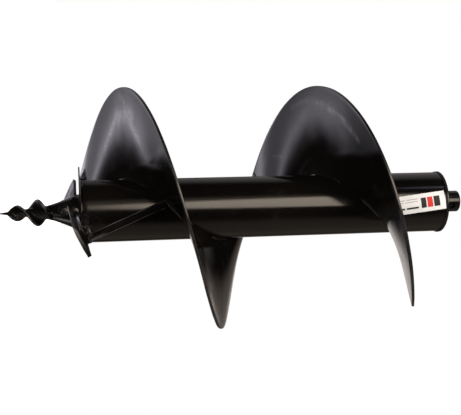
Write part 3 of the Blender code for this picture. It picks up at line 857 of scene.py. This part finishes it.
def build_seat(name, place):
    low = KNIFE_THICKNESS / 2.0 + GAP
    high = low + SEAT_THICKNESS
    width = SEAT_HALF_WIDTH
    outline = rectangle(-width, low, width, high)
    seat = as_object("knife_seat_bar_" + name, prism(outline, SEAT_INNER, SEAT_OUTER), place)
    hub = turn([(HUB_RADIUS, height(0.0)), (HUB_RADIUS, height(TUBE_HEAD))], 96)
    tube = turn([(TUBE_RADIUS, height(BOTTOM_CAP_FOOT)), (TUBE_RADIUS, height(TUBE_HEAD))], 96)
    room = SPANNER_ROOM
    slot = rectangle(-4.0 * room, -4.0 * room, room, room)
    station, flat = HUB_BOLTS["upper"]
    spot = level_place(station, HUB_BOLT_ANGLE)
    tools = [as_object("hub_tool", hub), as_object("tube_tool", tube)]
    tools.append(as_object("spanner_tool", prism(slot, flat, SPANNER_REACH), spot))
    combine(seat, tools)
    finish_piece(seat, *PAINT, ["knife_seat_" + name], 25.0, 0.0006, 2)
    start = HUB_RADIUS + 0.004 if name == "flight_side" else 0.036
    for edge, across in (("front", -width), ("rear", width)):
        if name == "braced_side" and edge == "front":
            continue
        path = line_path(place @ Vector((start, across, high)), place @ Vector((start + 0.022, across, high)))
        weld_bead(f"seat_weld_{name}_{edge}", path, 0.0018, 41.0 + across * 100.0)


def build_knife_fasteners(name, place):
    half = KNIFE_THICKNESS / 2.0
    washer_low = half + SEAT_THICKNESS + 2.0 * GAP
    nut_low = washer_low + WASHER_THICKNESS + 0.0001
    nut_high = nut_low + NUT_HEIGHT
    for reach_name, reach in KNIFE_BOLT_REACHES.items():
        turned = Matrix.Rotation(radians(17.0 if reach_name == "inner" else 46.0), 4, "Z")
        spot = place @ Matrix.Translation((reach, 0.0, 0.0)) @ turned
        suffix = f"{name}_{reach_name}"
        tip = nut_high + 0.0025
        profile = [(0.0030, -half + 0.0004), (0.0034, -half), (0.0094, -half), (0.0098, -half + 0.0005)]
        profile += [(0.0050, -half + 0.0053), (0.0050, nut_high - 0.0006)]
        pitch = 0.00150
        level = nut_high - 0.0006
        while level < tip - pitch:
            crest = level + 0.75 * pitch
            profile += [(0.0043, level + 0.25 * pitch), (0.0050, crest), (0.0050, level + pitch)]
            level += pitch
        profile += [(0.0046, tip - 0.0003), (0.0040, tip)]
        bolt = as_object("plough_bolt_" + suffix, turn(profile, 40), spot)
        finish_piece(bolt, *ZINC, ["knife_bolt_" + suffix], 28.0)
        ring = [(0.0098, washer_low), (0.0100, washer_low + 0.0003), (0.0100, washer_low + 0.0017)]
        top = washer_low + WASHER_THICKNESS
        ring += [(0.0097, top), (0.0053, top), (0.0053, washer_low)]
        washer = as_object("washer_" + suffix, turn(ring, 64, hollow=True), spot)
        finish_piece(washer, *ZINC, ["knife_washer_" + suffix], 30.0)
        nut = as_object("hex_nut_" + suffix, loft(hex_head(NUT_ACROSS, nut_low, nut_high)), spot)
        finish_piece(nut, *ZINC, ["knife_nut_" + suffix], 25.0, 0.0002, 2)


def build_toe_plate():
    low = FLIGHT_START - FLIGHT_HEIGHT / 2.0 - GAP - TOE_THICKNESS
    outline = rectangle(TOE_FRONT, low, TOE_REAR, low + TOE_THICKNESS)
    place = level_place(0.0, FLIGHT_START_ANGLE)
    toe = as_object("toe_plate", prism(outline, TOE_INNER, TOE_OUTER), place)
    finish_piece(toe, *PAINT, ["flight_toe_plate"], 30.0, 0.0005, 2)
    z = low + TOE_THICKNESS + 0.0004
    path = line_path(place @ Vector((0.060, -0.0006, z)), place @ Vector((0.188, -0.0006, z)))
    weld_bead("toe_weld", path, 0.0019, 51.0)


def build_brace():
    foot = around(BRACE_FOOT["radius"], BRACE_FOOT["angle"], height(BRACE_FOOT["station"]))
    head = around(BRACE_HEAD["radius"], BRACE_HEAD["angle"], height(BRACE_HEAD["station"]))
    along = (head - foot).normalized()
    outward = around(1.0, (BRACE_FOOT["angle"] + BRACE_HEAD["angle"]) / 2.0, 0.0)
    across = along.cross(outward).normalized()
    up = across.cross(along)
    rings = []
    for end in (foot - 0.030 * along, head + 0.030 * along):
        corners = ((-1.0, -1.0), (1.0, -1.0), (1.0, 1.0), (-1.0, 1.0))
        rings.append([end + 0.5 * (BRACE_WIDTH * a * across + BRACE_THICKNESS * b * up) for a, b in corners])
    shape = loft(rings)
    seat = knife_place(KNIFE_SIDES["braced_side"])
    seat_top = KNIFE_THICKNESS / 2.0 + SEAT_THICKNESS + 2.0 * GAP
    trim(shape, seat @ Vector((0.0, 0.0, seat_top)), -(seat.to_3x3() @ Vector((0.0, 0.0, 1.0))))
    slope = FLIGHT_PITCH / (2.0 * pi * BRACE_HEAD["radius"])
    tangent = around(1.0, BRACE_HEAD["angle"] + 90.0, slope)
    normal = around(1.0, BRACE_HEAD["angle"], 0.0).cross(tangent).normalized()
    under = flight_height(BRACE_HEAD["angle"]) - FLIGHT_HEIGHT / 2.0
    trim(shape, around(BRACE_HEAD["radius"], BRACE_HEAD["angle"], under - 4.0 * GAP), normal)
    corners = [vertex.co.copy() for vertex in shape.verts]
    brace = as_object("brace_strut", shape)
    finish_piece(brace, *PAINT, ["brace_bar"], 30.0, 0.0016, 5)

    def painted_edge_highlight(point):
        """Painted highlight along the long rounded corners, drawn in the light colour of worn paint."""
        side = abs((point - foot).dot(across)) / (0.5 * BRACE_WIDTH)
        face = abs((point - foot).dot(up)) / (0.5 * BRACE_THICKNESS)
        return 0.45 if side > 0.84 and face > 0.76 else 0.0

    # Painted highlight: the brace's long corners take the light edge colour through the wear attribute,
    # standing in for reflected light.
    set_attribute(brace, "wear_and_highlight", painted_edge_highlight)
    middle = (foot + head) / 2.0
    for name, ends in (("foot", [c for c in corners if (c - middle).dot(along) < 0.0]),
                       ("head", [c for c in corners if (c - middle).dot(along) > 0.0])):
        centre = sum(ends, Vector()) / len(ends)
        ends.sort(key=lambda c: (c - centre).dot(across))
        spoke_a = ends[-1] - centre
        spoke_b = along.cross(spoke_a).normalized()
        spoke_a.normalize()

        def bearing(corner):
            flat = Vector(((corner - centre).dot(spoke_a), (corner - centre).dot(spoke_b)))
            return flat.angle_signed(Vector((1.0, 0.0)), 0.0)

        order = sorted(ends, key=bearing)
        path = []
        for first, last in zip(order, order[1:] + order[:1]):
            path += line_path(first, last, 0.0012)[:-1]
        path += path[:3]
        weld_bead(f"brace_weld_{name}", path, 0.0021, 61.0 + len(name))


def trim(shape, point, outward):
    geometry = shape.verts[:] + shape.edges[:] + shape.faces[:]
    result = bmesh.ops.bisect_plane(shape, geom=geometry, plane_co=point, plane_no=outward, clear_outer=True)
    rim = [item for item in result["geom_cut"] if isinstance(item, bmesh.types.BMEdge)]
    bmesh.ops.edgeloop_fill(shape, edges=rim)


# -------- label

def label_point(along, across, lift):
    """Place on the tube from a place on the label: along its length, across its width, above the tube."""
    skew = radians(LABEL_SKEW)
    z = along * cos(skew) + across * sin(skew)
    arc = across * cos(skew) - along * sin(skew)
    return around(TUBE_RADIUS + lift, LABEL_ANGLE + degrees(arc / TUBE_RADIUS), height(LABEL_STATION) + z)


def build_label_film():
    columns, rows = 60, 24
    inner, outer = 0.00004, 0.00034
    rings = []
    for column in range(columns + 1):
        along = LABEL_LENGTH * (column / columns - 0.5)
        ring = []
        for lift, order in ((inner, range(rows + 1)), (outer, range(rows, -1, -1))):
            for row in order:
                across = LABEL_WIDTH * (row / rows - 0.5)
                bubble = 0.00005 * max(0.0, wobble((along, across, 0.0), 90.0, 6.0))
                ring.append(label_point(along, across, lift + (bubble if lift == outer else 0.0)))
        rings.append(ring)
    film = as_object("label_sticker", loft(rings))
    finish_piece(film, MATERIALS["label"], "label_film", ["label"], 50.0)


def label_bar(name, start, end, low, high, material):
    """Printed bar between two places along and two places across the label."""
    steps = 10
    shape = bmesh.new()
    section = rectangle(start, 0.00036, end, 0.00046)
    rows = []
    for step in range(steps + 1):
        across = low + (high - low) * step / steps
        rows.append([shape.verts.new(label_point(along, across, lift)) for along, lift in section])
    for first, last in zip(rows, rows[1:]):
        for index in range(4):
            after = (index + 1) % 4
            shape.faces.new((first[index], first[after], last[after], last[index]))
    shape.faces.new(rows[0])
    shape.faces.new(rows[-1])
    bar = as_object(name, shape)
    return finish_piece(bar, material, "label_film", (), 60.0)


def build_label():
    """White film with generic marks: three plain blocks and rows of grey bars, no lettering."""
    build_label_film()
    dark, red, grey = MATERIALS["ink_dark"], MATERIALS["ink_red"], MATERIALS["ink_grey"]
    for name, start, end, ink in (("left", 0.0070, 0.0160, dark), ("middle", 0.0180, 0.0275, red),
                                  ("right", 0.0295, 0.0400, dark)):
        label_bar("label_block_" + name, start, end, -0.0085, 0.0085, ink)
    for index, (start, end, low, size, ink) in enumerate((
            (-0.040, -0.021, -0.0085, 0.0012, grey), (-0.018, 0.001, -0.0085, 0.0012, grey),
            (-0.040, -0.024, -0.0045, 0.0012, grey), (-0.021, 0.001, -0.0045, 0.0012, grey),
            (-0.040, -0.022, 0.0050, 0.0030, dark), (-0.019, 0.002, 0.0050, 0.0030, dark))):
        label_bar(f"label_line_{index}", start, end, low, low + size, ink)


# -------- studio

def vector_math(tree, operation, first, second):
    """Outputs of a vector node, given a socket and then a socket or a vector."""
    made = tree.nodes.new("ShaderNodeVectorMath")
    made.operation = operation
    tree.links.new(first, made.inputs[0])
    if isinstance(second, bpy.types.NodeSocket):
        tree.links.new(second, made.inputs[1])
    else:
        made.inputs[1].default_value = second
    return made.outputs


# Soft lights of the room: azimuth, polar angle, full and faded radius in degrees, and colour.
SOFTBOXES = {
    "key": (258.5, 71.0, 14.0, 20.0, (4.60, 3.90, 3.20)),
    "key_side": (245.0, 80.0, 5.0, 18.0, (0.40, 0.33, 0.26)),
    "backdrop": (86.0, 84.0, 5.0, 16.0, (0.70, 0.65, 0.62)),
    "rear_up": (138.0, 62.0, 14.0, 40.0, (0.36, 0.33, 0.33)),
    "rear_mid": (76.0, 72.0, 6.0, 27.0, (0.15, 0.125, 0.11)),
    "side": (5.0, 85.0, 20.0, 55.0, (0.22, 0.185, 0.155)),
    "top_front": (305.0, 30.0, 5.0, 25.0, (1.60, 1.52, 1.45)),
    "top_back": (190.0, 34.0, 5.0, 22.0, (1.30, 1.28, 1.30)),
    "cool_line": (214.0, 66.0, 1.0, 5.0, (1.15, 1.15, 1.40)),
    "low_0": (2.0, 119.0, 3.0, 14.0, (1.80, 1.72, 1.66)),
    "low_310": (310.0, 120.0, 3.0, 12.0, (1.60, 1.54, 1.50)),
}


def make_world():
    world = bpy.data.worlds.new("studio")
    bpy.context.scene.world = world
    world.use_nodes = True
    tree = world.node_tree
    tree.nodes.clear()
    out = tree.nodes.new("ShaderNodeOutputWorld")
    white = tree.nodes.new("ShaderNodeBackground")
    white.inputs["Color"].default_value = (1.0, 1.0, 1.0, 1.0)
    white.inputs["Strength"].default_value = 1.0
    room = tree.nodes.new("ShaderNodeBackground")
    room.inputs["Strength"].default_value = 1.0
    path = tree.nodes.new("ShaderNodeLightPath")
    choose = tree.nodes.new("ShaderNodeMixShader")
    tree.links.new(path.outputs["Is Camera Ray"], choose.inputs["Fac"])
    tree.links.new(room.outputs[0], choose.inputs[1])
    tree.links.new(white.outputs[0], choose.inputs[2])
    tree.links.new(choose.outputs[0], out.inputs["Surface"])
    direction = tree.nodes.new("ShaderNodeTexCoord").outputs["Generated"]
    total = None
    for azimuth, polar, inner, outer, colour in SOFTBOXES.values():
        aimed = around(sin(radians(polar)), azimuth, cos(radians(polar)))
        closeness = vector_math(tree, "DOT_PRODUCT", direction, aimed)["Value"]
        fall = tree.nodes.new("ShaderNodeMapRange")
        fall.interpolation_type = "SMOOTHSTEP"
        fall.inputs["From Min"].default_value = cos(radians(outer))
        fall.inputs["From Max"].default_value = cos(radians(inner))
        tree.links.new(closeness, fall.inputs["Value"])
        tint = tree.nodes.new("ShaderNodeVectorMath")
        tint.operation = "SCALE"
        tint.inputs[0].default_value = colour
        tree.links.new(fall.outputs[0], tint.inputs["Scale"])
        light = tint.outputs[0]
        total = light if total is None else vector_math(tree, "ADD", total, light)[0]
    tree.links.new(total, room.inputs["Color"])


def make_floor():
    shape = bmesh.new()
    bmesh.ops.create_grid(shape, x_segments=1, y_segments=1, size=6.0)
    floor = as_object("studio_floor", shape, Matrix.Translation((0.0, 0.0, height(-0.002))))
    graph = Graph("floor_white")
    tone = graph.mix(graph.noise(3.0, 2.0), (0.92, 0.92, 0.92), (0.94, 0.94, 0.94))
    graph.give(Base_Color=tone)
    graph.shader.inputs["Roughness"].default_value = 0.9
    graph.shader.inputs["Emission Color"].default_value = (1.0, 1.0, 1.0, 1.0)
    graph.shader.inputs["Emission Strength"].default_value = 1.0
    floor.data.materials.append(graph.material)
    floor.visible_glossy = False
    floor.visible_diffuse = False
    floor.visible_shadow = False


def make_panel():
    """Large softly shaded panel behind and below the tip, which the undersides of the flight reflect."""
    edge = Vector((-0.45, 0.84, -1.652))
    rising = Vector((0.0, 0.80, 0.60))
    across = Vector((1.0, 0.0, 0.0))
    low, high = PANEL_RISE[0][0], PANEL_RISE[-1][0]
    left, right = PANEL_SPAN[0][0], PANEL_SPAN[-1][0]
    shape = bmesh.new()
    corners = rectangle(left, low, right, high)
    shape.faces.new([shape.verts.new(edge + a * across + b * rising) for a, b in corners])
    panel = as_object("studio_panel", shape)
    material = bpy.data.materials.new("studio_panel")
    material.use_nodes = True
    tree = material.node_tree
    tree.nodes.clear()
    place = tree.nodes.new("ShaderNodeSeparateXYZ")
    tree.links.new(tree.nodes.new("ShaderNodeTexCoord").outputs["Generated"], place.inputs[0])
    shades = []
    for axis, table in (("X", PANEL_SPAN), ("Y", PANEL_RISE)):
        ramp = tree.nodes.new("ShaderNodeValToRGB")
        ramp.color_ramp.interpolation = "EASE"
        tree.links.new(place.outputs[axis], ramp.inputs["Fac"])
        stops = ramp.color_ramp.elements
        while len(stops) < len(table):
            stops.new(1.0)
        for stop, (reach, value) in zip(stops, table):
            stop.position = (reach - table[0][0]) / (table[-1][0] - table[0][0])
            stop.color = (0.97 * value, 0.94 * value, value, 1.0)
        shades.append(ramp.outputs["Color"])
    glow = tree.nodes.new("ShaderNodeEmission")
    tree.links.new(vector_math(tree, "MULTIPLY", *shades)[0], glow.inputs["Color"])
    out = tree.nodes.new("ShaderNodeOutputMaterial")
    tree.links.new(glow.outputs[0], out.inputs["Surface"])
    panel.data.materials.append(material)
    panel.visible_camera = False
    panel.visible_shadow = False
    panel.visible_diffuse = False


def make_fills():
    """Broad light that only brightens matt surfaces, such as the label and the scuffs."""
    fills = (("front", 262.0, 68.0, 2.2), ("rear", 95.0, 70.0, 1.6), ("low", 265.0, 128.0, 2.2))
    for name, azimuth, polar, strength in fills:
        lamp = bpy.data.lights.new("fill_" + name, "SUN")
        lamp.energy = strength
        lamp.angle = radians(40.0)
        item = bpy.data.objects.new("fill_" + name, lamp)
        bpy.context.scene.collection.objects.link(item)
        towards = around(sin(radians(polar)), azimuth, cos(radians(polar)))
        item.matrix_world = aim((0.0, 0.0, 0.0), towards)
        item.visible_glossy = False


def make_camera():
    data = bpy.data.cameras.new("camera")
    data.sensor_width = 36.0
    data.lens = CAMERA_LENS
    data.clip_end = 50.0
    camera = bpy.data.objects.new("camera", data)
    bpy.context.scene.collection.objects.link(camera)
    ahead = Vector(CAMERA_AHEAD).normalized()
    right = ahead.cross(Vector(CAMERA_ABOVE)).normalized()
    up = right.cross(ahead)
    turned = Matrix((right, up, -ahead)).transposed().to_4x4()
    camera.matrix_world = Matrix.Translation(CAMERA_PLACE) @ turned
    bpy.context.scene.camera = camera


def build_all():
    build_tube()
    build_caps()
    build_socket()
    build_socket_fillet()
    build_flight()
    build_welds()
    build_spatter()
    build_pilot()
    build_hub()
    build_knives()
    build_toe_plate()
    build_brace()
    build_label()
    make_world()
    make_panel()
    make_fills()
    make_floor()
    make_camera()
    bpy.context.scene.view_settings.view_transform = "Standard"
    bpy.context.scene.view_settings.look = "None"


build_all()
